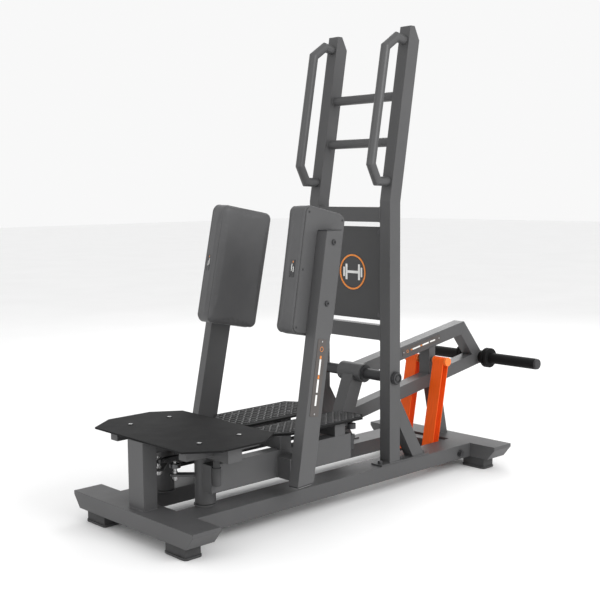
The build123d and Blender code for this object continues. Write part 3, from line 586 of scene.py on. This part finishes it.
def add_plate_bolts(side, sign):
    bm = bmesh.new()
    for x in (0.062, 0.158):
        for y in (0.028, 0.111, 0.326, 0.455):
            add_screw(bm, flipped(sign) @ plate_place(x, y), 0.007, 0.003)
    finish_piece(f"{side.title()} foot plate bolts", bm, MATERIALS["link_steel"], f"{side}_arm")


for side, sign in SIDES:
    add_treads(side, sign)
    add_plate_bolts(side, sign)


# ---- blank name strips --------------------------------------------------------------------------
STRIP_THICKNESS = 0.0014
LIGHT_BARS = ((-0.36, -0.22), (-0.19, -0.02), (0.04, 0.24))     # each bar's ends, in strip lengths
ORANGE_BARS = ((-0.02, 0.04), (0.24, 0.29))


def add_bars(bm, top, spans, length, width, share=1.0):
    """Plain bars along a strip, each filling a share of its span."""
    for start, end in spans:
        place = top @ Matrix.Translation(((start + end) / 2 * length, 0, 0))
        add_plate(bm, place, (end - start) * length * share, width, 0.0008, PRINT_THICKNESS, PRINT_EDGE)


def add_strip(name, body, place, length, width):
    """A blank strip with a small ring, plain bars and a screw at each end; its X runs along the strip."""
    bm = bmesh.new()
    add_plate(bm, place, length, width, 0.004, STRIP_THICKNESS)
    finish_piece(f"{name} strip", bm, STRIP_BROWN, body, smooth=False)
    top = place @ Matrix.Translation((0, 0, STRIP_THICKNESS))
    bm = bmesh.new()
    for end in (-1, 1):
        add_screw(bm, top @ Matrix.Translation((end * (length / 2 - 0.009), 0, 0)), 0.0032, 0.0014)
    finish_piece(f"{name} strip screws", bm, MATERIALS["zinc_steel"], body)
    bar = width * 0.2
    bm = bmesh.new()
    add_bars(bm, top, LIGHT_BARS, length, bar)
    finish_piece(f"{name} strip light bars", bm, WHITE_PRINT, body, smooth=False)
    bm = bmesh.new()
    add_bars(bm, top, ORANGE_BARS, length, bar, 0.8)
    steps, r = 28, width * 0.17
    angles = [2 * math.pi * i / steps for i in range(steps)]
    ring = [top @ Vector((0.37 * length + r * math.cos(a), r * math.sin(a), 0.0002)) for a in angles]
    bead_along(bm, ring, 0.0009, pitch=0.01, sides=6)
    finish_piece(f"{name} strip orange marks", bm, ORANGE_PRINT, body)


ARM_UP = Vector((0, math.sin(ARM_LEAN), math.cos(ARM_LEAN)))


def arm_middle_y(z):
    """Y of the pad arm's centreline at a height, before it is turned."""
    return 611 + math.tan(ARM_LEAN) * (z - 728) + 45 / math.cos(ARM_LEAN)


LEVER_SLOPE = 0.1685                 # rise over run of the lever's two long tubes
LEVER_START_Y = 1404                 # Y at which their heights are stated
UPPER_TUBE_Z, LOWER_TUBE_Z = 508, 334
LEVER_ALONG = Vector((0, math.cos(math.atan(LEVER_SLOPE)), math.sin(math.atan(LEVER_SLOPE))))


def tube_z(y, start_z):
    """Z in millimetres of a long lever tube's centreline at this Y."""
    return start_z + LEVER_SLOPE * (y - LEVER_START_Y)


for side, sign in SIDES:
    place = axes_place(at(320, arm_middle_y(542), 542), ARM_UP, (1, 0, 0))
    add_strip(f"{side.title()} arm", f"{side}_arm", flipped(sign) @ TURN @ place, 0.285, 0.05)
    place = axes_place(at(29, 1548, tube_z(1548, UPPER_TUBE_Z)), LEVER_ALONG * -sign, (1, 0, 0))
    add_strip(f"Lever {side}", "lever", flipped(sign) @ place, 0.262, 0.034)


# ---- welds --------------------------------------------------------------------------------------
def add_welds(name, body, loops, mirror_too=True):
    """Weld beads along closed paths given in millimetres."""
    bm = bmesh.new()
    for loop in loops:
        for sign in ((1, -1) if mirror_too else (1,)):
            points = [at(x * sign, y, z) for x, y, z in loop]
            bead_along(bm, points, 0.0028, ripple=0.16, pitch=0.003)
    finish_piece(name, bm, MATERIALS["frame_charcoal"], body)


def flat_loop(x0, x1, y0, y1, z):
    return [(x0, y0, z), (x1, y0, z), (x1, y1, z), (x0, y1, z)]


def upright_loop(x, y0, y1, z0, z1):
    return [(x, y0, z0), (x, y1, z0), (x, y1, z1), (x, y0, z1)]


add_welds("Frame welds", "frame", [
    flat_loop(176, 230, 1113, 1175, 114), flat_loop(179, 227, 1260.3, 1330, 114),
    upright_loop(176, 1113, 1153, 615, 675), upright_loop(176, 1113, 1153, 1095, 1155)])
add_welds("Post welds", "frame", [
    flat_loop(-46, 46, 32, 90, 108), flat_loop(-29, 29, 1681, 1733, 108)], False)
STUB_Y = (510, 580)
STUB_Z = (172.5, 250)


def arm_inner_x(y):
    """X of the pad arm's inner face at this Y."""
    return 297.5 - (22.5 + (y - 600) * math.sin(TOE_IN)) / math.cos(TOE_IN)


for side, sign in SIDES:
    inner = upright_loop(212, *STUB_Y, *STUB_Z)
    outer = [(arm_inner_x(y), y, z) for _, y, z in inner]
    loops = [[(x * sign, y, z) for x, y, z in loop] for loop in (inner, outer)]
    add_welds(f"{side.title()} arm welds", f"{side}_arm", loops, False)


def circle_path(x, y, z, r, steps=36):
    """A circle in millimetres round an axis along X."""
    angles = [2 * math.pi * i / steps for i in range(steps)]
    return [(x, y + r * math.cos(a), z + r * math.sin(a)) for a in angles]


def strut_loop(start_z, side):
    """The joint between the lever's strut and the lower or upper face of a long tube."""
    corners = ((-29, 1602), (29, 1602), (29, 1644), (-29, 1644))
    return [(x, y, tube_z(y, start_z) + side * 28.4) for x, y in corners]


def rung_y(z):
    """Y of a ladder rung's centre at this height."""
    return 1113 + (z - 1179) * math.tan(LEAN) + 31.5


add_welds("Lever welds", "lever", [
    strut_loop(UPPER_TUBE_Z, -1), strut_loop(LOWER_TUBE_Z, 1),
    circle_path(29.2, 1981, 431, 28), circle_path(-29.2, 1981, 431, 28)], False)
add_welds("Ladder welds", "frame", [circle_path(175.8, rung_y(z), z, 19) for z in (1416, 1600)])


# ---- panel motif --------------------------------------------------------------------------------
def add_motif():
    """A white dumbbell pictogram inside the panel's ring."""
    place = axes_place(at(0, 1138, 884), (1, 0, 0), (0, -1, 0))
    bm = bmesh.new()
    blocks = [(0, 0.064, 0.011)]
    for sign in (-1, 1):
        blocks += [(sign * 0.036, 0.011, 0.066), (sign * 0.05, 0.009, 0.04)]
    for x, w, h in blocks:
        add_plate(bm, place @ Matrix.Translation((x, 0, 0)), w, h, 0.0024, 0.001, 0.0003)
    finish_piece("Panel motif", bm, WHITE_PRINT, "frame", smooth=False)


add_motif()


def add_step_screws():
    """Plated screw heads on the four bolts of the step."""
    bm = bmesh.new()
    for x in (-209, 209):
        for y in (155, 334):
            add_screw(bm, Matrix.Translation(at(x, y, 362.4)), 0.0082, 0.0012)
    finish_piece("Step screws", bm, MATERIALS["zinc_steel"], "frame")


add_step_screws()


# ---- arm end plugs ------------------------------------------------------------------------------
def add_end_plug(side, sign):
    """A plug in the lower end of the pad arm, pale grey partly for its own plastic and partly as a painted
    highlight.
    """
    bm = bmesh.new()
    place = axes_place(at(297.5, arm_middle_y(158), 151.2), (1, 0, 0), (0, 0, -1))
    add_plate(bm, flipped(sign) @ TURN @ place, 0.036, 0.078, 0.006, 0.0018, 0.0008)
    finish_piece(f"{side.title()} arm end plug", bm, PLUG_PART_PAINTED_HIGHLIGHT, f"{side}_arm")


for side, sign in SIDES:
    add_end_plug(side, sign)


# ---- floor, light and camera --------------------------------------------------------------------
def add_floor():
    bpy.ops.mesh.primitive_plane_add(size=60, location=(0, 0, -0.0005))
    floor = bpy.context.object
    floor.name = "studio_floor"
    mat, shader = new_material("Studio floor", (0.93, 0.93, 0.93), 0.75, specular=0.1)
    tone = ramp(mat, noise(mat, 1.5, 2), (0.92, 0.92, 0.92), (0.94, 0.94, 0.94))
    mat.node_tree.links.new(tone, shader.inputs["Base Color"])
    floor.data.materials.append(mat)


def add_light(name, location, target, size, power):
    data = bpy.data.lights.new(name, "AREA")
    data.shape, data.size, data.energy = "DISK", size, power
    light = bpy.data.objects.new(name, data)
    bpy.context.scene.collection.objects.link(light)
    light.location = location
    light.rotation_euler = (Vector(target) - Vector(location)).to_track_quat("-Z", "Y").to_euler()


def add_world():
    world = bpy.data.worlds.new("Studio")
    world.use_nodes = True
    background = world.node_tree.nodes["Background"]
    background.inputs["Color"].default_value = (1, 1, 1, 1)
    background.inputs["Strength"].default_value = 0.94
    bpy.context.scene.world = world


def add_camera():
    heading, pitch, roll = math.radians(46.788), math.radians(6.043), math.radians(-0.49)
    ahead = math.cos(pitch)
    forward = Vector((-math.sin(heading) * ahead, math.cos(heading) * ahead, -math.sin(pitch)))
    level = Vector((math.cos(heading), math.sin(heading), 0))
    up = level.cross(forward)
    right = level * math.cos(roll) + up * math.sin(roll)
    up = right.cross(forward)
    data = bpy.data.cameras.new("Camera")
    data.sensor_width, data.lens = 36, 62.82
    camera = bpy.data.objects.new("Camera", data)
    bpy.context.scene.collection.objects.link(camera)
    turn = Matrix((right, up, -forward)).transposed().to_4x4()
    turn.translation = (3.0293, -3.0240, 1.2296)
    camera.matrix_world = turn
    bpy.context.scene.camera = camera


add_floor()
add_world()
add_light("Key", (4.2, 0.3, 3.0), (0, 0, 0.7), 2.4, 105)
add_light("Fill", (0.5, -4.5, 2.6), (0, 0, 0.7), 2.6, 26)
add_light("Rear", (-2.6, 3.6, 3.4), (0, 0, 0.9), 2.2, 60)
add_camera()
bpy.context.scene.view_settings.view_transform = "Standard"
